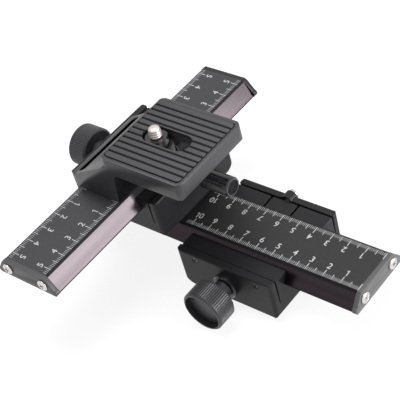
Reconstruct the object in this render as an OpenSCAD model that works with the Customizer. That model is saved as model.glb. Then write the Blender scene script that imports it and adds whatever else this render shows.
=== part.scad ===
// Macro focusing rail: two crossed dovetail slides with rack and pinion drive.
// Millimetres. Origin: centre of the lower carriage's foot. X along the lower rail,
// Y along the upper rail, Z up. Both slides use the same casting and the same bar.

/* [Dovetail rail] */
// Width of the rail's top face
rail_top_w = 28; // [24:0.5:34]
// Thickness of the rail
rail_t = 9.5; // [8:0.25:12]
// Angle of the dovetail flanks from flat
rail_angle = 60; // [50:1:70]
// Length of each rail without its end caps
rail_len = 157; // [140:1:220]
// Upright lip under the flank
rail_lip = 0.8; // [0.4:0.1:1.2]
// Bevel on the top edges
rail_bevel = 0.9; // [0.2:0.1:1.2]

/* [Rest position of the slides] */
// Middle of the lower rail beyond the lower carriage's middle
lower_shift = -10.5; // [-30:0.5:20]
// How far the upper carriage stands out past the lower rail's end
upper_over = 5; // [2:0.5:8]
// Middle of the upper rail beyond the upper carriage's middle
upper_shift = -12.4; // [-25:0.1:25]

/* [Carriage casting] */
// Length along its rail
car_len = 58.5; // [48:0.5:66]
// How far its middle lies beside the drive shaft
car_shift = -0.75; // [-2:0.25:2]
// Width across its rail
car_w = 58; // [54:0.5:68]
// Rail top to the casting's flat bottom
car_depth = 25; // [23:0.5:32]
// Height of the raised foot pad under the casting
pad_t = 3; // [1.5:0.5:5]
// Length and width of the foot pad
pad_size = 44; // [34:1:48]
// Rounding of the lower corner at the long end
car_round_long = 6.5; // [3:0.5:7]
// Rounding of the lower corner at the short end
car_round_short = 2; // [1:0.25:4]
// Rounding of the upright corners
car_corner = 2; // [1:0.25:5]
// Rounding of the flanges' outer top edges
car_edge = 1; // [0.4:0.1:1.6]
// Rail top down to the drive side flange
drop_drive = 2; // [1:0.25:4]
// Rail top down to the lock side flange
drop_lock = 2.8; // [1.5:0.1:4]
// Thickness of an outer flange
flange_t = 4.1; // [3:0.05:6]
// Width of the saw slit between flange and jaw
slit_w = 0.6; // [0.4:0.1:1.2]
// Rail top down to the end of the slit
slit_depth = 17.2; // [13:0.1:20]
// Rail top down to the drive side jaw
jaw_drop_drive = 2.8; // [2.5:0.1:6]
// Rail top down to the lock side jaw
jaw_drop_lock = 3.2; // [2.5:0.1:6]
// Width of the clamping tongue
tongue_w = 16.6; // [12:0.2:24]
// Width of the cross cuts beside the tongue
cross_cut_w = 1.2; // [0.8:0.1:2.5]
// Running clearance round the rail
rail_fit = 0.08; // [0.04:0.01:0.2]

/* [Rack and pinion] */
// Gear module
gear_m = 1; // [0.8:0.1:1.2]
// Teeth on the pinion
pinion_teeth = 10; // [8:1:12]
// Width of the rack strip
rack_w = 8; // [6:0.5:10]
// Rack height from its back to the tooth tips
rack_h = 4; // [3.5:0.25:5]
// Shaft diameter
shaft_d = 6; // [4:0.25:6.5]
// Radial running clearance of shafts
shaft_fit = 0.05; // [0.02:0.01:0.1]
// Play between rack and pinion flanks
tooth_play = 0.3; // [0.2:0.05:0.5]

/* [Drive knobs] */
// Knob diameter
knob_d = 23; // [18:0.5:27]
// Knob length
knob_len = 12; // [9:0.5:16]
// Gap between casting and knob
knob_gap = 9; // [6:0.5:14]
// Diameter of the recess in the knob's face
knob_recess_d = 20; // [13:0.5:20.5]
// Depth of that recess
knob_recess = 4.8; // [3:0.2:7]
// Thickness of the inset disc
knob_disc_t = 1.2; // [0.8:0.1:2]
// Knurls around the knob
knurls = 60; // [24:2:72]
// Collar diameter
collar_d = 14; // [10:0.5:16]
// Length of the collar outside the casting
collar_out = 3; // [1.5:0.5:5]
// Length of the collar inside the casting
collar_in = 4; // [3:0.5:6]
// Shaft behind the pinion
shaft_tail = 12; // [8:0.5:16]
// Neck diameter
neck_d = 10; // [8:0.5:12]

/* [Lock screws] */
// Lock screw axis below the rail top
lock_drop = 4.6; // [4:0.1:6]
// Stud diameter
stud_d = 3.6; // [3:0.1:4]
// Boss diameter
lock_boss_d = 7.2; // [6:0.2:11]
// Boss height on the flange
lock_boss_t = 1; // [0.5:0.1:2]
// Head diameter of the lower lock screw
lock_head_d = 5.4; // [5:0.1:8]
// Head length of the lower lock screw
lock_head_t = 1.6; // [1.2:0.2:5]
// Diameter of the fluted lock knob
lock_knob_d = 10.4; // [8:0.2:12]
// Length of the fluted lock knob
lock_knob_len = 18; // [12:0.5:24]
// Boss to lock knob
lock_neck = 8; // [5:0.5:12]
// Flutes around the lock knob
lock_flutes = 9; // [6:1:12]
// Disc diameter in the lock knob's end
lock_disc_d = 7.8; // [5:0.2:8.4]

/* [Platform] */
// Size along the upper rail
plat_len = 49; // [44:0.5:60]
// Reach from the rail's middle to the free edge
plat_reach = 61; // [58:0.5:72]
// Rail top to the platform's underside
plat_under = 19.5; // [17:0.5:24]
// Height of the platform's edge
plat_edge = 9.5; // [7:0.5:12]
// Rail's middle to the back wall of the stand
stand_back = 14; // [11:0.5:16]
// How far that wall leans out towards the plate
stand_lean = 2.2; // [0:0.2:3]
// Rail's middle to the rounded nose of the stand
stand_nose = 17.2; // [15:0.2:20]
// Height of the lip at the nose
lip_h = 8.6; // [6:0.2:12]
// Width of that lip, up to the trough
lip_t = 4; // [2:0.2:6]
// Width of the trough behind the lip
trough_w = 5; // [3:0.2:8]
// Floor of the trough above the rail
trough_floor = 4.5; // [4:0.25:6]
// Walls at the trough's ends
stand_rib = 2.4; // [1.6:0.2:5]
// Slope from the lip up to the plate, from flat
slope_angle = 29; // [20:1:34]
// Rail's middle to the plate's near edge
plate_left = 10; // [8:0.2:12]
// Rounding of the plate's upright corners
plat_corner = 3.8; // [2:0.2:6]
// Pocket under the plate
under_pocket = 4; // [2:0.5:5]
// Wall round that pocket
under_wall = 4; // [3:0.5:6]
// Rim around the rubber pad
pad_rim = 1.9; // [0.8:0.1:2.4]
// Rim beside the slope
pad_rim_left = 1.4; // [0.4:0.1:2]
// Depth at which the rubber pad is let in
pad_seat = 1.5; // [1:0.25:2.5]
// Thickness of the rubber pad
rubber_t = 2; // [1.5:0.1:3]
// Grooves in the rubber pad
grooves = 11; // [7:1:13]
// Width of a groove
groove_w = 1.5; // [0.8:0.1:2]
// Depth of a groove
groove_h = 0.9; // [0.4:0.1:1.2]
// Rail's middle to the middle of the slot
slot_x = 33.8; // [30:0.2:38]
// Travel of the camera screw in the slot
slot_travel = 16.6; // [10:0.2:20]
// Slot width
slot_w = 12; // [11.8:0.1:14]

/* [Camera screw] */
// Thread diameter, quarter inch
cam_d = 6.35; // [5:0.05:6.5]
// Shank diameter below the thread
cam_shank_d = 5; // [4:0.1:5.6]
// Thread standing over the platform
cam_out = 4.5; // [3:0.25:8]
// Rail's middle to the screw at rest
cam_x = 26.7; // [26:0.1:30]
// Collar diameter
cam_collar_d = 11.2; // [9:0.2:11.6]
// Collar top above the seat of the rubber pad
cam_collar_up = 0.8; // [0.4:0.1:1.5]
// Diameter of the knob under the plate
cam_knob_d = 17; // [15:0.5:20]
// Height of that knob
cam_knob_t = 10; // [7:0.5:12]
// Hub diameter of that knob, wider than the slot
cam_hub_d = 14.4; // [13:0.2:15]

/* [Fasteners] */
// End cap thickness
cap_t = 2.5; // [1.5:0.25:4]
// How far the end caps stand out round the rail's lower half
cap_over = 1; // [0.5:0.1:1.5]
// Cap screw spacing from the rail's middle
cap_screw_x = 12; // [10:0.25:13]
// Cap screw head diameter
cap_screw_d = 6; // [4:0.2:6.4]
// Cap screw head height
cap_screw_t = 1.2; // [0.8:0.1:1.8]
// Adjusting screw spacing from the casting's middle
grub_x = 19; // [14:0.5:22]
// Adjusting screw axis below the rail top
grub_drop = 5.7; // [5:0.1:8]
// Adjusting screw diameter
grub_d = 3; // [2:0.1:4]
// Joint screw spacing along the lower rail
joint_x = 16; // [10:0.5:19]
// Joint screw spacing across the lower rail
joint_y = 9; // [7.5:0.25:10]
// Joint screw shank diameter
joint_d = 4; // [3:0.2:4.4]
// Joint screw head diameter
joint_head_d = 7; // [6:0.2:8]
// Grip of the joint screws in the upper piece
joint_grip = 8; // [5:0.5:9]

/* [Tripod socket] */
// Socket diameter, quarter inch
socket_d = 6.35; // [5:0.05:6.5]
// Bushing diameter
bushing_d = 12; // [10:0.5:15]
// Bushing height
bushing_h = 7.2; // [6:0.2:7.6]

/* [Hidden] */
$fn = 48;
eps = 0.01;
// Rail tops above the foot, and the two frames
lower_top = car_depth + pad_t;
upper_top = lower_top + car_depth + pad_t;
upper_x = lower_shift - rail_len / 2 + car_w / 2 - upper_over;
// Rail widths
lip_w = rail_top_w / 2 + (rail_t - rail_lip) / tan(rail_angle);
cap_w = lip_w + cap_over;
// Gears
pitch_r = gear_m * pinion_teeth / 2;
tip_r = pitch_r + gear_m;
root_r = pitch_r - 1.25 * gear_m;
// The rack's tips are flush with the rail's underside
pinion_drop = rail_t - gear_m + pitch_r;
rack_pitch = PI * gear_m;
cavity_r = tip_r + 0.6;
cavity_w = rack_w + 2;
// Drive train along the shaft, from the casting's side face
neck_len = knob_gap - collar_out;
knob_face = car_w / 2 + knob_gap + knob_len;
shaft_start = knob_face - knob_recess - knob_disc_t - 1;
shaft_end = cavity_w / 2 + shaft_tail;
collar_gap = 0.3;
// Countersinks of 90 degrees
sink_h = (joint_head_d - joint_d) / 2;
// Lock train
lock_seat = car_w / 2 + lock_boss_t;
tongue_out = car_w / 2 - flange_t - slit_w;
stud_gap = 0.2;
// Platform heights above the upper rail
plat_top = plat_under + plat_edge;
pad_floor = plat_top - pad_seat;
slope_top = lip_h + (plate_left - lip_t + stand_nose) * tan(slope_angle);
seat_left = plate_left + pad_rim_left;
seat_right = plat_reach - pad_rim;
seat_mid = (seat_left + seat_right) / 2;
seat_w = seat_right - seat_left;
seat_l = plat_len - 2 * pad_rim;
pocket_left = stand_back + 3.4;
pocket_w = plat_reach - under_wall - pocket_left;
cam_top = pad_floor + rubber_t + cam_out;
cam_knob_top = plat_under + 0.5;
collar_low = plat_under + under_pocket - 0.3;
collar_high = pad_floor + cam_collar_up;
thread_low = collar_high + 0.1;
cam_hub_top = collar_low - 0.1;

// ---- frames of the two slides: x along the rail, z = 0 at the rail's top ----
module lower_frame() { translate([0, 0, lower_top]) children(); }
module upper_frame() { translate([upper_x, 0, upper_top]) rotate([0, 0, -90]) children(); }
module platform_frame() { translate([upper_x, upper_shift, upper_top]) children(); }

// ---- shapes shared by both slides ----
// Rectangle with true round corners, centred
module round_rect(w, h, r) {
    square([w - 2 * r, h], center = true);
    square([w, h - 2 * r], center = true);
    for (sx = [-1, 1], sy = [-1, 1])
        translate([sx * (w / 2 - r), sy * (h / 2 - r)]) circle(r);
}

// Long slot, centred, ends along x
module slot_shape(travel, r) {
    square([travel, 2 * r], center = true);
    for (s = [-1, 1]) translate([s * travel / 2, 0]) circle(r);
}

// Extrudes an x-z outline along y, centred
module along_y(w) { rotate([90, 0, 0]) translate([0, 0, -w / 2]) linear_extrude(w) children(); }
// Extrudes a y-z outline along x, centred
module along_x(w) {
    rotate([90, 0, 90]) translate([0, 0, -w / 2]) linear_extrude(w) children();
}
// Turns a z-built shape so that it stands out of the drive side or the lock side
module to_drive() { rotate([90, 0, 0]) children(); }
module to_lock() { rotate([-90, 0, 0]) children(); }

// Half width of the dovetail at a depth under the rail's top, grown by gap g
function flank(d, g) = rail_top_w / 2 + d / tan(rail_angle) + g / sin(rail_angle);

module rail_section() {
    polygon([
        [-lip_w, -rail_t], [lip_w, -rail_t], [lip_w, -rail_t + rail_lip],
        [flank(rail_bevel, 0), -rail_bevel], [rail_top_w / 2 - rail_bevel, 0],
        [rail_bevel - rail_top_w / 2, 0], [-flank(rail_bevel, 0), -rail_bevel],
        [-lip_w, -rail_t + rail_lip]
    ]);
}

// Room for the dovetail in the casting
module channel_section() {
    low = -rail_t - rail_fit;
    wide = lip_w + rail_fit;
    polygon([
        [-wide, low], [wide, low], [wide, rail_lip - rail_t],
        [flank(rail_t - rail_lip, rail_fit), rail_lip - rail_t],
        [flank(-1, rail_fit), 1], [-flank(-1, rail_fit), 1],
        [-flank(rail_t - rail_lip, rail_fit), rail_lip - rail_t], [-wide, rail_lip - rail_t]
    ]);
}

// Side outline of the casting: square on top, two unlike round corners below
module carriage_outline() {
    translate([car_shift, -car_depth]) difference() {
        translate([-car_len / 2, 0]) square([car_len, car_depth]);
        corner_cut(car_round_long);
        mirror([1, 0]) corner_cut(car_round_short);
    }
}

// What a round corner takes away at one lower end
module corner_cut(r) {
    translate([-car_len / 2, 0]) difference() {
        translate([-1, -1]) square(r + 1);
        translate([r, r]) circle(r);
    }
}

// One half of the casting's cross section, from the middle out to a flange
module half_section(drop, jaw_drop) {
    difference() {
        union() {
            translate([0, -car_depth]) square([car_w / 2, car_depth - drop - car_edge]);
            translate([0, -car_depth]) square([car_w / 2 - car_edge, car_depth - drop]);
            translate([car_w / 2 - car_edge, -drop - car_edge]) circle(car_edge);
        }
        // lower jaw
        translate([-1, -jaw_drop]) square([tongue_out + 1, car_depth]);
        // saw slit
        translate([tongue_out, -slit_depth]) square([slit_w, slit_depth]);
    }
}

// Cross section of the casting with its two spring jaws
module carriage_section() {
    difference() {
        union() {
            half_section(drop_lock, jaw_drop_lock);
            mirror([1, 0]) half_section(drop_drive, jaw_drop_drive);
        }
        channel_section();
    }
}

module carriage() {
    difference() {
        union() {
            intersection() {
                translate([car_shift, 0, 0]) along_x(car_len) carriage_section();
                along_y(car_w) carriage_outline();
                translate([car_shift, 0, -car_depth - 1]) linear_extrude(car_depth + 1)
                    round_rect(car_len, car_w, car_corner);
            }
            // foot pad
            translate([0, 0, -car_depth - pad_t])
                linear_extrude(pad_t + eps) round_rect(pad_size, pad_size, 4);
            // boss of the lock screw on the flange
            translate([0, car_w / 2 - flange_t, -lock_drop])
                to_lock() cylinder(d = lock_boss_d, h = flange_t + lock_boss_t);
        }
        // cross cuts that free the clamping tongue
        for (s = [-1, 1])
            translate([s * tongue_w / 2 - cross_cut_w / 2, 10, -slit_depth])
                cube([cross_cut_w, tongue_out + slit_w / 2 - 10, slit_depth]);
        // room for the pinion, open to the rack
        translate([0, 0, -pinion_drop]) along_y(cavity_w) circle(cavity_r);
        translate([-cavity_r, -cavity_w / 2, -pinion_drop])
            cube([2 * cavity_r, cavity_w, pinion_drop - rail_t + 1]);
        // shaft bore and the collar's seat
        translate([0, shaft_end + 0.5, -pinion_drop])
            to_drive() cylinder(d = shaft_d + 2 * shaft_fit, h = car_w);
        translate([0, -car_w / 2 + collar_in, -pinion_drop])
            to_drive() cylinder(d = collar_d - 2, h = car_w);
        // lock screw
        translate([0, tongue_out + eps, -lock_drop])
            to_lock() cylinder(d = stud_d + 2 * shaft_fit, h = car_w);
        // adjusting screws
        for (s = [-1, 1])
            translate([s * grub_x, -tongue_out - eps, -grub_drop])
                to_drive() cylinder(d = grub_d, h = car_w);
    }
}

// Dovetail bar with the rack's groove underneath
module rail(shift) {
    translate([shift, 0, 0]) difference() {
        along_x(rail_len) rail_section();
        translate([0, 0, -rail_t]) cube([rail_len + 1, rack_w, 2 * rack_h], center = true);
        // cap screw holes
        for (e = [-1, 1], s = [-1, 1])
            translate([e * (rail_len / 2 - 4), s * cap_screw_x, -rail_t / 2])
                rotate([0, 90, 0]) cylinder(d = 2.6, h = 10, center = true);
    }
}

// Rack: straight flanks of 20 degrees, in mesh with the pinion at x = 0
module rack_strip(shift) {
    long = rail_len - 2;
    pitch_z = gear_m;
    root_z = 2.25 * gear_m;
    half_root = rack_pitch / 4 - tooth_play / 4 + 1.25 * gear_m * tan(20);
    half_tip = rack_pitch / 4 - tooth_play / 4 - gear_m * tan(20);
    first = ceil((shift - long / 2 + half_root) / rack_pitch - 0.5);
    last = floor((shift + long / 2 - half_root) / rack_pitch - 0.5);
    translate([0, 0, -rail_t]) along_y(rack_w) union() {
        translate([shift - long / 2, root_z]) square([long, rack_h - root_z]);
        for (i = [first : last]) translate([(i + 0.5) * rack_pitch, 0])
            polygon([[-half_root, root_z + eps], [-half_tip, 0], [half_tip, 0],
                [half_root, root_z + eps]]);
    }
}

// Pinion tooth: flanks of an involute, drawn through four radii
function inv_deg(r, base) = r <= base ? 0 :
    (sqrt(pow(r / base, 2) - 1) - acos(base / r) * PI / 180) * 180 / PI;
module pinion_outline() {
    base = pitch_r * cos(20);
    half = 90 / pinion_teeth - tooth_play / 4 / pitch_r * 180 / PI + inv_deg(pitch_r, base);
    steps = [root_r - 0.3, max(base, root_r), pitch_r, (pitch_r + tip_r) / 2, tip_r];
    circle(root_r);
    for (i = [0 : pinion_teeth - 1]) rotate(i * 360 / pinion_teeth)
        polygon(concat(
            [for (r = steps) let (a = 90 - half + inv_deg(r, base)) [r * cos(a), r * sin(a)]],
            [for (k = [4 : -1 : 0]) let (r = steps[k], a = 90 + half - inv_deg(r, base))
                [r * cos(a), r * sin(a)]]
        ));
}

module pinion_shaft() {
    translate([0, 0, -pinion_drop]) to_drive() {
        translate([0, 0, -rack_w / 2]) linear_extrude(rack_w) pinion_outline();
        translate([0, 0, -shaft_end]) cylinder(d = shaft_d, h = shaft_end - rack_w / 2 + eps);
        translate([0, 0, rack_w / 2 - eps]) cylinder(d = shaft_d, h = shaft_start - rack_w / 2);
    }
}

// Bushing with a turned flange, pressed in the casting
module shaft_collar() {
    translate([0, -car_w / 2, -pinion_drop]) to_drive() difference() {
        union() {
            translate([0, 0, -collar_in]) cylinder(d = collar_d - 2, h = collar_in + 1);
            cylinder(d = collar_d, h = collar_out - 0.6);
            translate([0, 0, collar_out - 0.6 - eps])
                cylinder(d1 = collar_d, d2 = collar_d - 1.2, h = 0.6);
        }
        translate([0, 0, -10]) cylinder(d = shaft_d + 2 * shaft_fit, h = 20);
    }
}

// Knurled knob with its neck and the recess in its face
module drive_knob() {
    translate([0, -car_w / 2, -pinion_drop]) to_drive() difference() {
        union() {
            translate([0, 0, collar_out + collar_gap]) cylinder(d = neck_d, h = neck_len + 1);
            translate([0, 0, knob_gap]) difference() {
                rotate_extrude($fn = 96) polygon([
                    [0, 0], [knob_d / 2 - 1, 0], [knob_d / 2, 1], [knob_d / 2, knob_len - 0.8],
                    [knob_d / 2 - 0.8, knob_len], [0, knob_len]
                ]);
                for (i = [0 : knurls - 1]) rotate(i * 360 / knurls)
                    translate([knob_d / 2 + 0.1, 0, knob_len / 2])
                        rotate(45) cube([0.62, 0.62, knob_len - 2.4], center = true);
            }
        }
        translate([0, 0, knob_gap + knob_len - knob_recess])
            cylinder(d = knob_recess_d, h = knob_recess + 1);
        translate([0, 0, -1])
            cylinder(d = shaft_d, h = shaft_start - car_w / 2 + 1);
    }
}

module knob_disc() {
    translate([0, -knob_face + knob_recess, -pinion_drop]) to_drive()
        difference() {
            cylinder(d = knob_recess_d - 0.6, h = knob_disc_t);
            translate([0, 0, knob_disc_t - 0.3]) difference() {
                cylinder(d = knob_recess_d - 3, h = 1);
                translate([0, 0, -1]) cylinder(d = knob_recess_d - 4.4, h = 3);
            }
        }
}

module adjusting_screws() {
    for (s = [-1, 1])
        translate([s * grub_x, -tongue_out, -grub_drop]) to_drive() difference() {
            cylinder(d = grub_d, h = car_w / 2 - tongue_out - 0.4);
            translate([0, 0, car_w / 2 - tongue_out - 1.6])
                cylinder(d = grub_d / 2, h = 3, $fn = 6);
        }
}

module end_cap_at(x) {
    // a hair wider than the bar, with round lower corners
    r = 1.8;
    low = -rail_t - 0.3;
    translate([x, 0, 0]) along_x(cap_t) union() {
        polygon([
            [-cap_w + r, low], [cap_w - r, low],
            [cap_w, low + r], [flank(1, cap_over * 0.3), -1],
            [rail_top_w / 2 - 0.5, 0], [0.5 - rail_top_w / 2, 0],
            [-flank(1, cap_over * 0.3), -1], [-cap_w, low + r]
        ]);
        for (s = [-1, 1]) translate([s * (cap_w - r), low + r]) circle(r);
    }
}

module end_caps(shift) {
    difference() {
        for (e = [-1, 1]) end_cap_at(shift + e * (rail_len + cap_t) / 2);
        for (s = [-1, 1]) translate([shift, s * cap_screw_x, -rail_t / 2])
            rotate([0, 90, 0]) cylinder(d = 2.6, h = rail_len * 1.5, center = true);
    }
}

// Pan head with a domed face and a shank that fills its hole
module cap_screws(shift) {
    for (e = [-1, 1], s = [-1, 1])
        translate([shift + e * (rail_len / 2 + cap_t), s * cap_screw_x, -rail_t / 2])
            rotate([0, e * 90, 0]) {
                rotate_extrude() polygon([
                    [0, 0], [cap_screw_d / 2, 0], [cap_screw_d / 2, cap_screw_t * 0.5],
                    [cap_screw_d / 2 - 0.6, cap_screw_t * 0.85],
                    [cap_screw_d / 4, cap_screw_t], [0, cap_screw_t]
                ]);
                translate([0, 0, -cap_t - 7]) cylinder(d = 2.6, h = cap_t + 7 + eps);
            }
}

// ---- lower slide ----
module lower_carriage() {
    color("#2b2b2d") difference() {
        lower_frame() carriage();
        translate([0, 0, -1]) cylinder(d = bushing_d, h = bushing_h + 1);
    }
}

module tripod_bushing() {
    color("#b9a05c") difference() {
        cylinder(d = bushing_d, h = bushing_h);
        translate([0, 0, -1]) cylinder(d = socket_d, h = bushing_h + 2);
    }
}

module joint_holes() {
    for (sx = [-1, 1], sy = [-1, 1])
        translate([upper_x + sx * joint_x, sy * joint_y, lower_top - rail_t]) {
            translate([0, 0, -1]) cylinder(d = joint_d, h = rail_t + joint_grip + 1);
            translate([0, 0, -1])
                cylinder(d1 = joint_head_d + 2, d2 = joint_d, h = sink_h + 1);
        }
}

module lower_rail() {
    color("#3c3c3e") difference() {
        lower_frame() rail(lower_shift);
        joint_holes();
    }
}

module joint_screws() {
    color("silver") for (sx = [-1, 1], sy = [-1, 1])
        translate([upper_x + sx * joint_x, sy * joint_y, lower_top - rail_t]) {
            cylinder(d = joint_d, h = rail_t + joint_grip);
            cylinder(d1 = joint_head_d, d2 = joint_d, h = sink_h);
        }
}

module lower_rack() { color("#9a9a9a") lower_frame() rack_strip(lower_shift); }
module lower_end_caps() { color("#8a8888") lower_frame() end_caps(lower_shift); }
module lower_cap_screws() { color("white") lower_frame() cap_screws(lower_shift); }
module lower_pinion_shaft() { color("#9a9a9a") lower_frame() pinion_shaft(); }
module lower_shaft_collar() { color("#444446") lower_frame() shaft_collar(); }
module lower_drive_knob() { color("#3a3a3c") lower_frame() drive_knob(); }
module lower_knob_disc() { color("#5f5f5f") lower_frame() knob_disc(); }
module lower_adjusting_screws() { color("#777777") lower_frame() adjusting_screws(); }

// Short screw whose tip presses on the tongue
module lower_lock_screw() {
    color("silver") lower_frame() translate([0, tongue_out + stud_gap, -lock_drop])
        to_lock() {
            cylinder(d = stud_d, h = lock_seat + 0.3 - tongue_out - stud_gap + eps);
            translate([0, 0, lock_seat + 0.3 - tongue_out - stud_gap]) difference() {
                cylinder(d = lock_head_d, h = lock_head_t);
                translate([-5, -0.5, lock_head_t - 1]) cube([10, 1, 2]);
            }
        }
}

// ---- upper slide ----
module upper_carriage() {
    color("#2b2b2d") difference() {
        upper_frame() carriage();
        joint_holes();
    }
}

module upper_rail() {
    color("#3c3c3e") difference() {
        upper_frame() rail(-upper_shift);
        platform_holes();
    }
}

module upper_rack() { color("#9a9a9a") upper_frame() rack_strip(-upper_shift); }
module upper_end_caps() { color("#8a8888") upper_frame() end_caps(-upper_shift); }
module upper_cap_screws() { color("white") upper_frame() cap_screws(-upper_shift); }
module upper_pinion_shaft() { color("#9a9a9a") upper_frame() pinion_shaft(); }
module upper_shaft_collar() { color("#444446") upper_frame() shaft_collar(); }
module upper_drive_knob() { color("#3a3a3c") upper_frame() drive_knob(); }
module upper_knob_disc() { color("#5f5f5f") upper_frame() knob_disc(); }
module upper_adjusting_screws() { color("#777777") upper_frame() adjusting_screws(); }

// z = 0 at the stud's tip on the tongue
module lock_axis() {
    upper_frame() translate([0, tongue_out + stud_gap, -lock_drop]) to_lock() children();
}
lock_knob_at = lock_seat + lock_neck - tongue_out - stud_gap;

module upper_lock_stud() {
    color("silver") lock_axis() cylinder(d = stud_d, h = lock_knob_at + lock_knob_len - 3);
}

module upper_lock_knob() {
    color("#4a4a4d") lock_axis() translate([0, 0, lock_knob_at]) difference() {
        union() {
            rotate_extrude() polygon([
                [0, -2], [stud_d / 2 + 1, -2], [stud_d / 2 + 1.4, 0], [lock_knob_d / 2 - 0.8, 0],
                [lock_knob_d / 2, 0.8], [lock_knob_d / 2, lock_knob_len - 0.8],
                [lock_knob_d / 2 - 0.5, lock_knob_len], [0, lock_knob_len]
            ]);
        }
        for (i = [0 : lock_flutes - 1]) rotate(i * 360 / lock_flutes)
            translate([lock_knob_d / 2 + 0.35, 0, 1.5]) cylinder(r = 0.9, h = lock_knob_len - 4);
        translate([0, 0, -3]) cylinder(d = stud_d, h = lock_knob_len);
        translate([0, 0, lock_knob_len - 1.2]) cylinder(d = lock_disc_d, h = 2);
    }
}

module upper_lock_disc() {
    color("#77777a") lock_axis() translate([0, 0, lock_knob_at + lock_knob_len - 1.2])
        cylinder(d = lock_disc_d, h = 0.7);
}

// ---- platform on the upper rail ----
// Side outline: rounded nose with a lip, the slope, the plate, and the leaning back wall
module platform_outline() {
    polygon([
        [1.4 - stand_nose, 0], [stand_back, 0], [stand_back + stand_lean, plat_under - 3],
        [stand_back + stand_lean + 1.2, plat_under - 0.8],
        [stand_back + stand_lean + 3.3, plat_under],
        [plat_reach - 1.2, plat_under], [plat_reach, plat_under + 1.2],
        [plat_reach, plat_top - 0.6], [plat_reach - 0.6, plat_top],
        [plate_left + 0.6, plat_top], [plate_left, plat_top - 0.6],
        [plate_left, slope_top + 0.9], [plate_left - 0.9, slope_top],
        [lip_t - stand_nose - 0.5, lip_h + 0.2], [2 - stand_nose, lip_h],
        [1 - stand_nose, lip_h - 0.5], [0.3 - stand_nose, lip_h - 1.6],
        [-stand_nose, lip_h - 4], [0.2 - stand_nose, 1.8], [0.6 - stand_nose, 0.6]
    ]);
}

// What rounds an upright corner of the plate, as a plan outline
module plate_corner() {
    difference() {
        translate([-1, -1]) square(plat_corner + 1);
        translate([plat_corner, plat_corner]) circle(plat_corner);
    }
}

module platform_holes() {
    for (sy = [-1, 1])
        translate([upper_x, upper_shift + sy * joint_x, upper_top - rail_t]) {
            for (sx = [-1, 1]) translate([sx * joint_y, 0, -1])
                cylinder(d = joint_d, h = rail_t + 1 + 3);
            for (sx = [-1, 1]) translate([sx * joint_y, 0, -1])
                cylinder(d1 = joint_head_d + 2, d2 = joint_d, h = sink_h + 1);
        }
}

module camera_platform() {
    color("#48484c") difference() {
        platform_frame() difference() {
            intersection() {
                along_y(plat_len) platform_outline();
                translate([(plat_reach - stand_nose) / 2, 0, -1]) linear_extrude(plat_top + 2)
                    round_rect(plat_reach + stand_nose, plat_len, plat_corner);
            }
            // corners of the plate above the slope
            for (m = [0, 1]) mirror([0, m, 0])
                translate([plate_left, -plat_len / 2, slope_top + 1])
                    linear_extrude(plat_top) plate_corner();
            // trough behind the lip
            translate([lip_t - stand_nose + trough_w / 2, 0, trough_floor])
                linear_extrude(plat_top) round_rect(trough_w, plat_len - 2 * stand_rib, 2);
            // seat of the rubber pad
            translate([seat_mid, 0, pad_floor]) linear_extrude(pad_seat + 1)
                round_rect(seat_w, seat_l, 2.2);
            // pocket under the plate
            translate([pocket_left + pocket_w / 2, 0, plat_under - 1])
                linear_extrude(under_pocket + 1)
                round_rect(pocket_w, plat_len - 2 * under_wall, 3);
            translate([slot_x, 0, plat_under]) linear_extrude(plat_edge)
                slot_shape(slot_travel, slot_w / 2);
        }
        platform_holes();
    }
}

module platform_screws() {
    color("silver") for (sy = [-1, 1], sx = [-1, 1])
        translate([upper_x + sx * joint_y, upper_shift + sy * joint_x, upper_top - rail_t]) {
            cylinder(d = joint_d, h = rail_t + 3);
            cylinder(d1 = joint_head_d, d2 = joint_d, h = sink_h);
        }
}

module rubber_pad() {
    pw = seat_w - 0.2;
    pl = seat_l - 0.2;
    step = pl / (grooves + 1);
    color("#5a5a5e") platform_frame() difference() {
        translate([seat_mid, 0, pad_floor]) linear_extrude(rubber_t) round_rect(pw, pl, 2.1);
        // trapezoid grooves along the reach
        for (i = [1 : grooves])
            translate([seat_mid, i * step - pl / 2, pad_floor + rubber_t]) along_x(pw + 1)
                polygon([[-groove_w / 2, 0.1], [-groove_w / 4, -groove_h],
                    [groove_w / 4, -groove_h], [groove_w / 2, 0.1]]);
        translate([slot_x, 0, pad_floor - 1]) linear_extrude(rubber_t + 2)
            slot_shape(slot_travel, slot_w / 2);
    }
}

module cam_axis() { platform_frame() translate([cam_x, 0, 0]) children(); }

module camera_screw() {
    r = cam_d / 2;
    low = cam_knob_top - cam_knob_t + 2;
    color("white") cam_axis() rotate_extrude() polygon([
        [0, low], [cam_shank_d / 2, low], [cam_shank_d / 2, thread_low], [r, thread_low],
        [r, cam_top - 0.8], [r - 0.8, cam_top], [0, cam_top]
    ]);
}

module camera_screw_collar() {
    color("#222222") cam_axis() difference() {
        translate([0, 0, collar_low]) cylinder(d = cam_collar_d, h = collar_high - collar_low);
        translate([0, 0, collar_low - 1])
            cylinder(d = cam_shank_d + 2 * shaft_fit, h = plat_edge);
    }
}

module camera_screw_knob() {
    hub_h = cam_hub_top - cam_knob_top + cam_knob_t;
    color("#333333") cam_axis() translate([0, 0, cam_knob_top - cam_knob_t]) difference() {
        rotate_extrude($fn = 96) polygon([
            [0, 0], [cam_knob_d / 2 - 1, 0], [cam_knob_d / 2, 1],
            [cam_knob_d / 2, cam_knob_t - 3.5], [cam_knob_d / 2 - 0.5, cam_knob_t - 3],
            [cam_hub_d / 2, cam_knob_t - 3], [cam_hub_d / 2, hub_h], [0, hub_h]
        ]);
        for (i = [0 : 23]) rotate(i * 15)
            translate([cam_knob_d / 2 + 0.3, 0, 1]) cylinder(r = 0.8, h = cam_knob_t - 5);
        translate([0, 0, 2]) cylinder(d = cam_shank_d, h = cam_knob_t + 10);
    }
}

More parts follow.
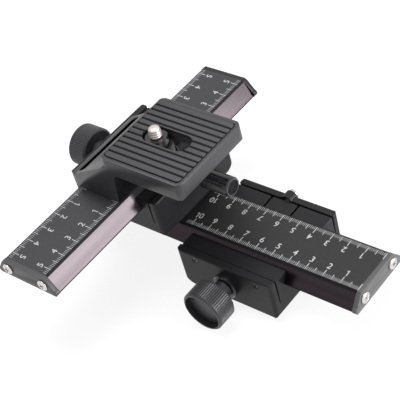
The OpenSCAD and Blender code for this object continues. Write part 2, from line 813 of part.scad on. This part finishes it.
lower_carriage();
tripod_bushing();
lower_rail();
lower_rack();
lower_end_caps();
lower_cap_screws();
lower_pinion_shaft();
lower_shaft_collar();
lower_drive_knob();
lower_knob_disc();
lower_adjusting_screws();
lower_lock_screw();
upper_carriage();
joint_screws();
upper_rail();
upper_rack();
upper_end_caps();
upper_cap_screws();
upper_pinion_shaft();
upper_shaft_collar();
upper_drive_knob();
upper_knob_disc();
upper_adjusting_screws();
upper_lock_stud();
upper_lock_knob();
upper_lock_disc();
camera_platform();
platform_screws();
rubber_pad();
camera_screw();
camera_screw_collar();
camera_screw_knob();
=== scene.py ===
import math

import bmesh
import bpy
from mathutils import Euler, Matrix, Vector


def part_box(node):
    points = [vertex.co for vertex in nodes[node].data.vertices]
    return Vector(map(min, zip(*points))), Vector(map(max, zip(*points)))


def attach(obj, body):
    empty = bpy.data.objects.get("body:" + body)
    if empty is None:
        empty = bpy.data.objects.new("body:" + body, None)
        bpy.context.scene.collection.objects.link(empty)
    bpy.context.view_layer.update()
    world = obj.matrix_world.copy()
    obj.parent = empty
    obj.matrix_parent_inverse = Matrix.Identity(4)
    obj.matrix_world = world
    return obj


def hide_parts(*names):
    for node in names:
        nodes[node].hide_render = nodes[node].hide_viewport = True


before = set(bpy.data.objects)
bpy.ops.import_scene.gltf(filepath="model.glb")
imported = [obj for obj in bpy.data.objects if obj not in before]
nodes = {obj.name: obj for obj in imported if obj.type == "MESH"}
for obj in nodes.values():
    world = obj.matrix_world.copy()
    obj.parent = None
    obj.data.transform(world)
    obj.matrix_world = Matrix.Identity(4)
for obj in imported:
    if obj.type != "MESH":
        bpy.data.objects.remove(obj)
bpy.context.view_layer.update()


# ---------------------------------------------------------------- camera, floor and light
# The photographer stood to the right of the lower drive knob and looked down at about 41
# degrees, with the camera rolled so that both rails run diagonally across a square picture.
def placed(name, data):
    """Makes an object of some data and puts it in the scene."""
    made = bpy.data.objects.new(name, data)
    bpy.context.scene.collection.objects.link(made)
    return made


camera_data = bpy.data.cameras.new("camera")
camera_data.sensor_width = 36.0
camera_data.lens = 110.12
camera_data.clip_start = 0.01
camera = placed("camera", camera_data)
camera.location = (0.320955, -0.305, 0.444372)
camera.rotation_euler = Euler([math.radians(a) for a in (47.4481, 12.5395, 38.1691)], "XYZ")
bpy.context.scene.camera = camera
bpy.context.scene.view_settings.view_transform = "Standard"


def added(tree, kind, output, values, **settings):
    """Adds a shader node. Each value is a number, a colour or another node's output."""
    made = tree.nodes.new(kind)
    for name, setting in settings.items():
        setattr(made, name, setting)
    for slot, value in values.items():
        if isinstance(value, bpy.types.NodeSocket):
            tree.links.new(value, made.inputs[slot])
        else:
            made.inputs[slot].default_value = value
    return made.outputs[output]


def maths(tree, operation, *values):
    """The result of a Math node."""
    return added(tree, "ShaderNodeMath", 0, dict(enumerate(values)), operation=operation)


def shown_white(tree, lit, background):
    """Joins a lit shader with plain white for what sees it directly or in a reflection."""
    rays = tree.nodes.new("ShaderNodeLightPath").outputs
    seen = rays["Is Camera Ray"]
    for other in ("Is Glossy Ray", "Is Transmission Ray"):
        seen = maths(tree, "MAXIMUM", seen, rays[other])
    return added(tree, "ShaderNodeMixShader", 0, {0: seen, 1: lit, 2: background})


# The room: a soft grey-white surround that the camera sees as white.
world = bpy.data.worlds.new("studio")
bpy.context.scene.world = world
world.use_nodes = True
tree = world.node_tree
tree.nodes.clear()
room = added(tree, "ShaderNodeBackground", 0, {"Color": (0.94, 0.95, 1.0, 1), "Strength": 0.27})
white = added(tree, "ShaderNodeBackground", 0, {"Color": (1, 1, 1, 1), "Strength": 1.0})
out = tree.nodes.new("ShaderNodeOutputWorld")
tree.links.new(shown_white(tree, room, white), out.inputs["Surface"])

# The floor: a white sheet on which the foot pad stands, with a faint shadow.
bm = bmesh.new()
bmesh.ops.create_grid(bm, x_segments=8, y_segments=8, size=1.5)
mesh = bpy.data.meshes.new("floor")
bm.to_mesh(mesh)
bm.free()
floor = placed("floor", mesh)
paper = bpy.data.materials.new("white_sheet")
paper.use_nodes = True
tree = paper.node_tree
tree.nodes.clear()
sheet = added(tree, "ShaderNodeBsdfDiffuse", 0, {"Color": (0.80, 0.80, 0.80, 1)})
glow = added(tree, "ShaderNodeEmission", 0, {"Color": (1, 1, 1, 1), "Strength": 0.86})
dim = added(tree, "ShaderNodeBsdfDiffuse", 0, {"Color": (0.24, 0.24, 0.24, 1)})
both = added(tree, "ShaderNodeAddShader", 0, {0: glow, 1: dim})
out = tree.nodes.new("ShaderNodeOutputMaterial")
tree.links.new(shown_white(tree, sheet, both), out.inputs["Surface"])
mesh.materials.append(paper)


def soft_lamp(name, place, aim, size, watts, tint=(1, 1, 1)):
    """A rectangular soft box at place that shines on aim."""
    data = bpy.data.lights.new(name, "AREA")
    data.shape = "RECTANGLE"
    data.size, data.size_y = size
    data.energy = watts
    data.color = tint
    lamp = placed(name, data)
    lamp.location = place
    lamp.rotation_euler = (Vector(aim) - Vector(place)).to_track_quat("-Z", "Y").to_euler()


# A long box to the right is what the bright flank of the upper rail mirrors; one overhead
# lights the tops, and a weak one fills the front.
middle = (-0.02, 0.0, 0.04)
soft_lamp("right_box", (0.80, 0.28, 0.24), middle, (0.60, 0.45), 10.5, (1.0, 0.96, 0.98))
soft_lamp("top_box", (-0.14, 0.04, 0.95), middle, (0.5, 0.5), 5.2)
soft_lamp("front_box", (0.05, -0.9, 0.35), middle, (0.6, 0.4), 0.3)


# ---------------------------------------------------------------- carriages
# Both carriages are the same casting, painted satin black: slightly grainy on the broad
# faces, with softened arrises. Saw cuts leave the jaws springy.
def new_finish(name):
    """A new material: gives it, its tree, its shader's inputs and the place on the object."""
    mat = bpy.data.materials.new(name)
    mat.use_nodes = True
    tree = mat.node_tree
    place = tree.nodes.new("ShaderNodeTexCoord").outputs["Object"]
    return mat, tree, tree.nodes["Principled BSDF"].inputs, place


def blend(tree, factor, first, second):
    """The mix of two colours."""
    return added(tree, "ShaderNodeMix", "Result", {"Factor": factor, "A": first, "B": second},
                 data_type="RGBA")


def satin(name, dark, light, rough, grain=900.0, depth=0.10, spec=0.5, metal=0.0):
    """Satin finish on a part: cloudy tone, fine orange peel and uneven gloss."""
    mat, tree, paint, place = new_finish(name)
    cloud = added(tree, "ShaderNodeTexNoise", "Fac",
                  {"Vector": place, "Scale": 42.0, "Detail": 5.0, "Roughness": 0.62})
    peel = added(tree, "ShaderNodeTexNoise", "Fac",
                 {"Vector": place, "Scale": grain, "Detail": 3.0})
    gloss = added(tree, "ShaderNodeMapRange", "Result",
                  {"Value": cloud, "To Min": rough - 0.06, "To Max": rough + 0.08})
    bump = added(tree, "ShaderNodeBump", "Normal",
                 {"Height": peel, "Strength": depth, "Distance": 0.0002})
    tree.links.new(blend(tree, cloud, (*dark, 1), (*light, 1)), paint["Base Color"])
    tree.links.new(gloss, paint["Roughness"])
    tree.links.new(bump, paint["Normal"])
    paint["Specular IOR Level"].default_value = spec
    paint["Metallic"].default_value = metal
    return mat


def dress(node, mat):
    """Gives a CAD node its finish."""
    node_mesh = nodes[node].data
    node_mesh.materials.clear()
    node_mesh.materials.append(mat)


def softened(node, name, body, mat, width, angle=30.0, inset=0.0, long_only=0.0):
    """A copy of a CAD node with its arrises rounded, and its outline a little drawn in.

    With long_only, only the outer edges longer than that are cut, and the faces stay flat.
    """
    weld, flat_within, segments = 2e-6, math.radians(0.6), 2
    piece_mesh = nodes[node].data.copy()
    piece_mesh.name = name
    bm = bmesh.new()
    bm.from_mesh(piece_mesh)
    bmesh.ops.remove_doubles(bm, verts=bm.verts, dist=weld)
    bmesh.ops.dissolve_limit(bm, angle_limit=flat_within, verts=bm.verts, edges=bm.edges)
    low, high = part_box(node)
    half = (high - low) / 2
    bmesh.ops.scale(bm, vec=(1 - inset / half.x, 1 - inset / half.y, 1), verts=bm.verts,
                    space=Matrix.Translation(-(low + high) / 2))
    if long_only:
        arrises = [e for e in bm.edges if e.is_manifold and e.is_convex
                   and e.calc_face_angle() > math.radians(angle) and e.calc_length() > long_only]
        bmesh.ops.bevel(bm, geom=arrises, offset=width, offset_type="OFFSET", affect="EDGES",
                        segments=segments, profile=0.5, material=-1, clamp_overlap=False)
    for face in bm.faces:
        face.smooth = not long_only
    bm.to_mesh(piece_mesh)
    bm.free()
    piece_mesh.materials.clear()
    piece_mesh.materials.append(mat)
    piece = placed(name, piece_mesh)
    if not long_only:
        soft = piece.modifiers.new("arrises", "BEVEL")
        soft.width = width
        soft.segments = segments
        soft.limit_method = "ANGLE"
        soft.angle_limit = math.radians(angle)
        soft.use_clamp_overlap = True
        soft.harden_normals = True
    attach(piece, body)
    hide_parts(node)


black_paint = satin("black_paint", (0.009, 0.009, 0.010), (0.019, 0.019, 0.021), 0.40, spec=0.20)
casting_arris, long_edge = 0.0004, 0.008
softened("lower_carriage", "lower_casting", "lower_carriage_body", black_paint,
         casting_arris, long_only=long_edge)
softened("upper_carriage", "upper_casting", "lower_slide", black_paint,
         casting_arris, long_only=long_edge)


# ---------------------------------------------------------------- rails
# Drawn aluminium bars, dark anodised: fine draw lines run along each bar. The flanks are
# glossier than the top, so they mirror the lamps, with a faint purple sheen.
def axis_of(tree, vector, axis):
    """One coordinate of a vector."""
    return added(tree, "ShaderNodeSeparateXYZ", axis, {"Vector": vector})


def ramp(tree, value, start, end):
    """Rises from 0 at start to 1 at end."""
    return added(tree, "ShaderNodeMapRange", "Result",
                 {"Value": value, "From Min": start, "From Max": end})


def anodised_bar(name, along, dark, light, sheen, rough, matt_shaded_run=(0.0, -1.0), spec=0.42):
    """Dark anodising over draw lines, with glossy flanks outside one run along the bar.

    In that run the flanks are matt and carry the near black painted shade of the faces beside
    the top. The run is given as its middle and half length; the default has no run.
    """
    mat, tree, metal, place = new_finish(name)
    stretch = (0.02, 1, 1) if along == "X" else (1, 0.02, 1)
    drawn = added(tree, "ShaderNodeMapping", "Vector", {"Vector": place, "Scale": stretch})

    # zones: all that isn't the top face, and of that the flanks, which slope above the lip
    normal = tree.nodes.new("ShaderNodeNewGeometry").outputs["True Normal"]
    upward = axis_of(tree, normal, "Z")
    off_top = ramp(tree, upward, 0.95, 0.90)
    flank = maths(tree, "MULTIPLY", ramp(tree, upward, 0.70, 0.60),
                  ramp(tree, upward, 0.15, 0.30))
    run_middle, run_half = matt_shaded_run
    from_run = maths(tree, "SUBTRACT", axis_of(tree, place, along), run_middle)
    clear = ramp(tree, maths(tree, "ABSOLUTE", from_run), run_half - 0.001, run_half + 0.002)
    glossy = maths(tree, "MULTIPLY", flank, clear)

    # colour: specks on the top, and brushed streaks on the flanks; the faces beside the top
    # get a painted shade, near black
    speck = added(tree, "ShaderNodeTexNoise", "Fac",
                  {"Vector": place, "Scale": 700.0, "Detail": 2.0})
    streak = added(tree, "ShaderNodeTexNoise", "Fac",
                   {"Vector": drawn, "Scale": 260.0, "Detail": 5.0, "Roughness": 0.7})
    shade = (dark[0] * 0.25, dark[1] * 0.22, dark[2] * 0.25, 1)
    body = blend(tree, off_top, blend(tree, speck, (*dark, 1), (*light, 1)), shade)
    brushed = blend(tree, ramp(tree, streak, 0.30, 0.70), (*[c * 0.80 for c in sheen], 1),
                    (*[c * 1.16 for c in sheen], 1))
    tree.links.new(blend(tree, glossy, body, brushed), metal["Base Color"])
    tree.links.new(glossy, metal["Metallic"])

    # gloss: smoother on the flanks, and duller on the other faces beside the top
    gloss = added(tree, "ShaderNodeMapRange", "Result",
                  {"Value": glossy, "To Min": rough, "To Max": rough * 0.6})
    dull = maths(tree, "SUBTRACT", off_top, glossy)
    tree.links.new(maths(tree, "MULTIPLY_ADD", dull, 0.5, gloss), metal["Roughness"])
    lines = added(tree, "ShaderNodeTexNoise", "Fac",
                  {"Vector": drawn, "Scale": 1500.0, "Detail": 4.0})
    bump = added(tree, "ShaderNodeBump", "Normal",
                 {"Height": lines, "Strength": 0.06, "Distance": 0.0001})
    tree.links.new(bump, metal["Normal"])
    metal["Specular IOR Level"].default_value = spec
    return mat


# The lower bar gets a darker copy of the same anodising, with less sheen: painted shade.
lower_bar = anodised_bar("lower_bar", "X", (0.016, 0.016, 0.017), (0.028, 0.028, 0.029),
                         (0.036, 0.028, 0.033), 0.40, spec=0.30)
# The upper bar's flanks are matt over the length of the upper carriage, and there they carry
# a painted shade, near black. Glossy, they showed bright through the slot, where the
# photograph is dark. Nothing more is known of this zone.
jaw_low, jaw_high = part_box("upper_carriage")
painted_shade_run = ((jaw_low.y + jaw_high.y) / 2, (jaw_high.y - jaw_low.y) / 2)
upper_bar = anodised_bar("upper_bar", "Y", (0.026, 0.026, 0.030), (0.042, 0.042, 0.048),
                         (0.046, 0.0405, 0.0430), 0.40, painted_shade_run)
dress("lower_rail", lower_bar)
dress("upper_rail", upper_bar)


# ---------------------------------------------------------------- scales
# White printed scales on both edges of each bar: a tick for every millimetre, longer ones
# at five and ten, and a number for each centimetre, read from that edge's own side.
ink, tree, printed, place = new_finish("scale_ink")
fleck = added(tree, "ShaderNodeTexNoise", "Fac", {"Vector": place, "Scale": 900.0})
tree.links.new(blend(tree, fleck, (0.52, 0.52, 0.53, 1), (0.78, 0.78, 0.78, 1)),
               printed["Base Color"])
printed["Roughness"].default_value = 0.6

tick_out = 0.0130       # outer end of every tick from the bar's middle line
tick_in = {"mm": 0.0109, "half": 0.0098, "cm": 0.0088}
tick_wide = {"mm": 0.00017, "half": 0.00032, "cm": 0.00036}
ink_high = 0.00003
digit_high = 0.0036     # height of a digit
digit_in = 0.0062       # its middle from the bar's middle line
stroke = 0.00042        # width of a printed stroke


def inked_box(bm, turn, spot, wide, long):
    """A thin printed bar, centred on spot in the bar's own directions."""
    size = Matrix.Diagonal((wide, long, ink_high, 1))
    bmesh.ops.create_cube(bm, size=1, matrix=turn @ spot @ size)


def tick(bm, turn, top, side, at, kind):
    """One tick: a thin box on the bar's top, at its distance along the bar."""
    start, end = tick_in[kind], tick_out
    spot = Matrix.Translation((at, side * (start + end) / 2, top + ink_high / 2))
    inked_box(bm, turn, spot, tick_wide[kind], end - start)


def figure_one(bm, spot):
    """The figure one: a stem with a short slanting flag at its head."""
    stem = Matrix.Translation((digit_high * 0.08, 0, 0))
    inked_box(bm, spot, stem, stroke, digit_high)
    flag = Matrix.Translation((-digit_high * 0.06, digit_high * 0.36, 0))
    slant = Matrix.Rotation(math.radians(-48), 4, "Z")
    inked_box(bm, spot, flag @ slant, stroke * 0.9, digit_high * 0.34)


def other_figure(bm, figure, spot):
    """Any other figure, from Blender's own font."""
    curve = bpy.data.curves.new("number", "FONT")
    curve.body = figure
    curve.size = digit_high * 1.38
    curve.align_x, curve.align_y = "CENTER", "CENTER"
    curve.extrude = ink_high / 2
    curve.offset = 0.00001
    holder = bpy.data.objects.new("number", curve)
    flat = bpy.data.meshes.new_from_object(holder)
    flat.transform(spot)
    bm.from_mesh(flat)
    bpy.data.objects.remove(holder)
    bpy.data.curves.remove(curve)
    bpy.data.meshes.remove(flat)


def number(bm, text, turn, top, side, at):
    """One number, read from its own side of the bar."""
    spin = Matrix.Rotation(0 if side < 0 else math.pi, 4, "Z")
    spot = turn @ Matrix.Translation((at, side * digit_in, top + ink_high / 2)) @ spin
    step = digit_high * 0.66
    for index, figure in enumerate(text):
        slide = Matrix.Translation(((index - (len(text) - 1) / 2) * step, 0, 0))
        if figure == "1":
            figure_one(bm, spot @ slide)
        else:
            other_figure(bm, figure, spot @ slide)


def scale_piece(name, body, turn, top, runs):
    """All ink of one bar: each run gives its zero, its sense, its last tick and last number."""
    bm = bmesh.new()
    for zero, sense, last_mm, last_cm in runs:
        for side in (-1, 1):
            for mm in range(last_mm + 1):
                kind = "cm" if mm % 10 == 0 else "half" if mm % 5 == 0 else "mm"
                tick(bm, turn, top, side, zero + sense * mm * 0.001, kind)
            for cm in range(1, last_cm + 1):
                number(bm, str(cm), turn, top, side, zero + sense * cm * 0.01)
    bmesh.ops.remove_doubles(bm, verts=bm.verts, dist=1e-7)
    bmesh.ops.recalc_face_normals(bm, faces=bm.faces)
    piece_mesh = bpy.data.meshes.new(name)
    bm.to_mesh(piece_mesh)
    bm.free()
    piece_mesh.materials.append(ink)
    piece = placed(name, piece_mesh)
    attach(piece, body)


# The lower scale runs from 0 at the bar's end to 10, and the upper one both ways to 5 from
# two zeros, each a little way from the bar's middle.
low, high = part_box("lower_rail")
scale_piece("lower_scale", "lower_slide", Matrix.Identity(4), high.z, [(high.x, -1, 103, 10)])
low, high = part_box("upper_rail")
bar_middle = (low + high) / 2
quarter_turn = Matrix.Rotation(math.pi / 2, 4, "Z")
upper_turn = Matrix.Translation((bar_middle.x, bar_middle.y, 0)) @ quarter_turn
zero_out = 0.0245
scale_piece("upper_scale", "upper_slide", upper_turn, high.z,
            [(zero_out, 1, 53, 5), (-zero_out, -1, 53, 5)])


# ---------------------------------------------------------------- end caps and their screws
# Aluminium end plates, matt, stop the slide at the casting. Each is fixed by two chromed
# pan head screws with a cross recess.
def toned(mat, colour, *limits):
    """Blends a finish to another colour where every limit holds: (source, axis, from, to)."""
    tree = mat.node_tree
    base = tree.nodes["Principled BSDF"].inputs["Base Color"]
    before = base.links[0].from_socket
    reads = {"normal": tree.nodes.new("ShaderNodeNewGeometry").outputs["True Normal"],
             "place": tree.nodes.new("ShaderNodeTexCoord").outputs["Object"]}
    within = [ramp(tree, axis_of(tree, reads[source], axis), start, end)
              for source, axis, start, end in limits]
    reach = within[0]
    for limit in within[1:]:
        reach = maths(tree, "MULTIPLY", reach, limit)
    tree.links.new(blend(tree, reach, before, (*colour, 1)), base)


lower_cap = satin("lower_cap", (0.085, 0.085, 0.086), (0.120, 0.120, 0.121), 0.42, 1400.0, 0.06,
                  spec=0.4)
upper_cap = satin("upper_cap", (0.056, 0.056, 0.058), (0.078, 0.078, 0.080), 0.42, 1400.0, 0.06,
                  spec=0.4)
# In the photograph the upper bar's back plate is black and its front one grey.
toned(upper_cap, (0.006, 0.006, 0.007), ("place", "Y", 0.0, 0.01))
cap_arris = 0.0005
softened("lower_end_caps", "lower_cap_plates", "lower_slide", lower_cap,
         cap_arris)
softened("upper_end_caps", "upper_cap_plates", "upper_slide", upper_cap,
         cap_arris)

chrome, tree, plate, place = new_finish("chrome")
haze = added(tree, "ShaderNodeTexNoise", "Fac", {"Vector": place, "Scale": 600.0, "Detail": 3.0})
gloss = added(tree, "ShaderNodeMapRange", "Result",
              {"Value": haze, "To Min": 0.16, "To Max": 0.32})
tree.links.new(gloss, plate["Roughness"])
plate["Base Color"].default_value = (0.66, 0.63, 0.62, 1)
plate["Metallic"].default_value = 1.0
dress("lower_lock_screw", chrome)


def turned(bm, profile, matrix, steps=32):
    """Spins a list of (radius, height) round the z axis and sets it in place."""
    rim = [bm.verts.new((r, 0, z)) for r, z in profile]
    edges = [bm.edges.new(pair) for pair in zip(rim, rim[1:])]
    bmesh.ops.spin(bm, geom=rim + edges, axis=(0, 0, 1), cent=(0, 0, 0),
                   angle=2 * math.pi, steps=steps, use_merge=True)
    fresh = {v for f in bm.faces for v in f.verts if not f.tag}
    bmesh.ops.remove_doubles(bm, verts=list(fresh), dist=1e-7)
    faces = [f for f in bm.faces if not f.tag]
    bmesh.ops.recalc_face_normals(bm, faces=faces)
    bmesh.ops.transform(bm, matrix=matrix, verts=list({v for f in faces for v in f.verts}))
    for face in faces:
        face.tag = True
        face.smooth = True


def finished(name, bm, mat, body, node):
    """Makes the piece's object and lets it stand in for its CAD node."""
    piece_mesh = bpy.data.meshes.new(name)
    bm.to_mesh(piece_mesh)
    bm.free()
    piece_mesh.materials.append(mat)
    piece = placed(name, piece_mesh)
    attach(piece, body)
    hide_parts(node)
    return piece


head_r, head_high = 0.0030, 0.0012
pin_r, pin_long = 0.00125, 0.006
cross_wide, cross_long, cross_deep = 0.0006, 0.0030, 0.0008
pan_head = [(0, -pin_long), (pin_r, -pin_long), (pin_r, 0), (head_r, 0),
            (head_r, head_high * 0.45), (head_r * 0.93, head_high * 0.74),
            (head_r * 0.72, head_high * 0.92), (head_r * 0.4, head_high * 0.99), (0, head_high)]


def pan_head_screws(name, body, node, along):
    """Four pan head screws, two at each end of a bar, with the cross cut by a boolean."""
    low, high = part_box(node)
    span = (high - low) / 2
    centre = (low + high) / 2
    bm, cutter = bmesh.new(), bmesh.new()
    for end in (-1, 1):
        for side in (-1, 1):
            if along == "X":
                seat = Vector((centre.x + end * (span.x - head_high),
                               centre.y + side * (span.y - head_r), centre.z))
                turn = Matrix.Rotation(end * math.pi / 2, 4, "Y")
            else:
                seat = Vector((centre.x + side * (span.x - head_r),
                               centre.y + end * (span.y - head_high), centre.z))
                turn = Matrix.Rotation(-end * math.pi / 2, 4, "X")
            driven_to = 0.4 + side + end    # the crosses don't all line up
            spot = Matrix.Translation(seat) @ turn @ Matrix.Rotation(driven_to, 4, "Z")
            turned(bm, pan_head, spot)
            for quarter in (0, math.pi / 2):
                size = Matrix.Diagonal((cross_wide, cross_long, 2 * cross_deep, 1))
                bmesh.ops.create_cube(cutter, size=1, matrix=spot
                                      @ Matrix.Translation((0, 0, head_high))
                                      @ Matrix.Rotation(quarter, 4, "Z") @ size)
    piece = finished(name, bm, chrome, body, node)
    cross_mesh = bpy.data.meshes.new("cross")
    cutter.to_mesh(cross_mesh)
    cutter.free()
    cross = placed("cross", cross_mesh)
    cut = piece.modifiers.new("cross", "BOOLEAN")
    cut.object = cross
    cut.solver = "EXACT"
    cut.use_self = True
    ready = piece.evaluated_get(bpy.context.evaluated_depsgraph_get())
    cut_mesh = bpy.data.meshes.new_from_object(ready)
    piece.modifiers.remove(cut)
    piece.data = cut_mesh
    cut_mesh.name = name
    bpy.data.objects.remove(cross)


pan_head_screws("lower_pan_screws", "lower_slide", "lower_cap_screws", "X")
pan_head_screws("upper_pan_screws", "upper_slide", "upper_cap_screws", "Y")


# ---------------------------------------------------------------- drive knobs
# Turned aluminium knobs with straight knurls, black anodised, on a thinner neck. A lighter
# disc sits in the recess of the face, and a glossy flanged bushing guides the shaft. The
# upper knob gets a lighter copy of the lower one's black: painted light.
knob_black = satin("knob_black", (0.026, 0.026, 0.029), (0.042, 0.042, 0.046), 0.36, spec=0.4)
knob_painted_light = satin("knob_painted_light", (0.046, 0.046, 0.050), (0.068, 0.068, 0.073), 0.40, spec=0.4)
disc_grey = satin("disc_grey", (0.050, 0.050, 0.053), (0.072, 0.072, 0.076), 0.38, spec=0.40)
dark_steel = satin("dark_steel", (0.010, 0.010, 0.011), (0.020, 0.020, 0.022), 0.18, spec=0.6)
for side, knurled in (("lower", knob_black), ("upper", knob_painted_light)):
    dress(side + "_drive_knob", knurled)
    dress(side + "_knob_disc", disc_grey)
    dress(side + "_shaft_collar", dark_steel)


# ---------------------------------------------------------------- screws and drive inside
# Plain turned steel, mostly hidden: racks, pinion shafts, the lock knob's stud, and the
# adjusting, joint and platform screws.
steel = satin("turned_steel", (0.22, 0.22, 0.23), (0.34, 0.34, 0.35), 0.34, 1200.0, 0.05,
              metal=1.0)
for node in ("lower_rack", "upper_rack", "lower_pinion_shaft", "upper_pinion_shaft",
             "lower_adjusting_screws", "upper_adjusting_screws", "joint_screws",
             "platform_screws", "upper_lock_stud"):
    dress(node, steel)


# ---------------------------------------------------------------- lock knob
# A long fluted thumb knob in glossy black, with a plain ring at its end and a recessed disc.
# The faces that look along X, the ring's end face, are painted lighter: a painted highlight.
lock_black = satin("lock_black", (0.014, 0.014, 0.016), (0.024, 0.024, 0.027), 0.26, spec=0.5)
toned(lock_black, (0.070, 0.069, 0.075), ("normal", "X", 0.75, 0.95))
dress("upper_lock_knob", lock_black)
# Near black on the disc is a painted shade of its recess.
dress("upper_lock_disc", dark_steel)


# ---------------------------------------------------------------- tripod bushing
# A brass insert in the foot pad, tapped for the tripod's quarter inch screw. It is hidden in
# the photograph, so its metal is a guess.
brass = satin("brass", (0.48, 0.34, 0.12), (0.62, 0.46, 0.18), 0.30, 1200.0, 0.05, metal=1.0)
dress("tripod_bushing", brass)


# ---------------------------------------------------------------- camera platform
# A second casting, painted dark grey, that stands on the upper bar and reaches out to the
# right. A trough runs behind its lip, and its edges are generously rounded.
grey_paint = satin("grey_paint", (0.032, 0.032, 0.035), (0.048, 0.048, 0.052), 0.34, spec=0.45)
low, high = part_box("camera_platform")
platform_arris = 0.0009
fade = 0.0004           # width over which one tone goes over into the next
trough_near, trough_far = low.x + 0.0036, low.x + 0.0104
lip_top = low.z + 0.0086
wall_until = low.x + 0.045      # between the stand's wall and the plate's far edge
# Two places get a painted shade, near black, which isn't a known finish: the trough without
# its end walls, and the stand's wall that faces right under the plate.
toned(grey_paint, (0.004, 0.004, 0.005),
      ("place", "X", trough_near, trough_near + fade),
      ("place", "X", trough_far, trough_far - fade),
      ("place", "Z", lip_top - fade, lip_top - platform_arris),
      ("normal", "Y", 0.6, 0.4), ("normal", "Y", -0.6, -0.4))
toned(grey_paint, (0.003, 0.003, 0.003),
      ("normal", "X", 0.5, 0.7), ("place", "X", wall_until + 0.005, wall_until))
softened("camera_platform", "platform_body", "upper_slide", grey_paint,
         platform_arris)


# ---------------------------------------------------------------- rubber pad
# A ribbed pad of grey rubber let into the plate, with the long slot for the camera screw. Its
# grooves are darkened, and it is drawn in a little, as the photograph has a dark line there.
rubber = satin("ribbed_rubber", (0.064, 0.064, 0.067), (0.088, 0.088, 0.092), 0.62, 1800.0, 0.25,
               spec=0.25)
pad_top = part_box("rubber_pad")[1].z
# Below these depths the grooves get a painted shade, near black.
dark_from, dark_below = 0.00030, 0.00065     # depths in a groove where it darkens
pad_arris, pad_gap = 0.00025, 0.0004
toned(rubber, (0.008, 0.008, 0.009), ("place", "Z", pad_top - dark_from, pad_top - dark_below))
softened("rubber_pad", "ribbed_pad", "upper_slide", rubber, pad_arris, angle=35.0,
         inset=pad_gap)


# ---------------------------------------------------------------- camera screw
# A plated quarter inch screw, twenty threads to the inch, that slides in the slot. It has a
# glossy black collar round its foot and a thumb knob under the plate.
low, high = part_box("camera_screw")
axis = (low + high) / 2
thread_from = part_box("camera_screw_collar")[1].z + 0.0001
thread_r, core_r, foot_r = (high.x - low.x) / 2, 0.00282, 0.0025
pitch, dome_high = 0.00127, 0.0012
profile = [(0, low.z), (foot_r, low.z), (foot_r, thread_from)]
height = thread_from
while height + pitch < high.z - dome_high:
    profile += [(core_r, height + 0.1 * pitch), (thread_r, height + 0.40 * pitch),
                (thread_r, height + 0.65 * pitch), (core_r, height + 0.95 * pitch)]
    height += pitch
# the domed top
profile += [(thread_r - 0.0002, height + 0.3 * pitch), (thread_r - 0.0004, high.z - 0.0008),
            (thread_r - 0.0009, high.z - 0.0003), (thread_r - 0.0017, high.z - 0.0001),
            (0, high.z)]
nickel = satin("rosy_nickel", (0.50, 0.44, 0.43), (0.66, 0.60, 0.58), 0.42, 1200.0, 0.05,
               metal=0.75)
bm = bmesh.new()
turned(bm, profile, Matrix.Translation((axis.x, axis.y, 0)), 40)
finished("threaded_screw", bm, nickel, "camera_screw_body", "camera_screw")
dress("camera_screw_collar", dark_steel)
dress("camera_screw_knob", knob_black)
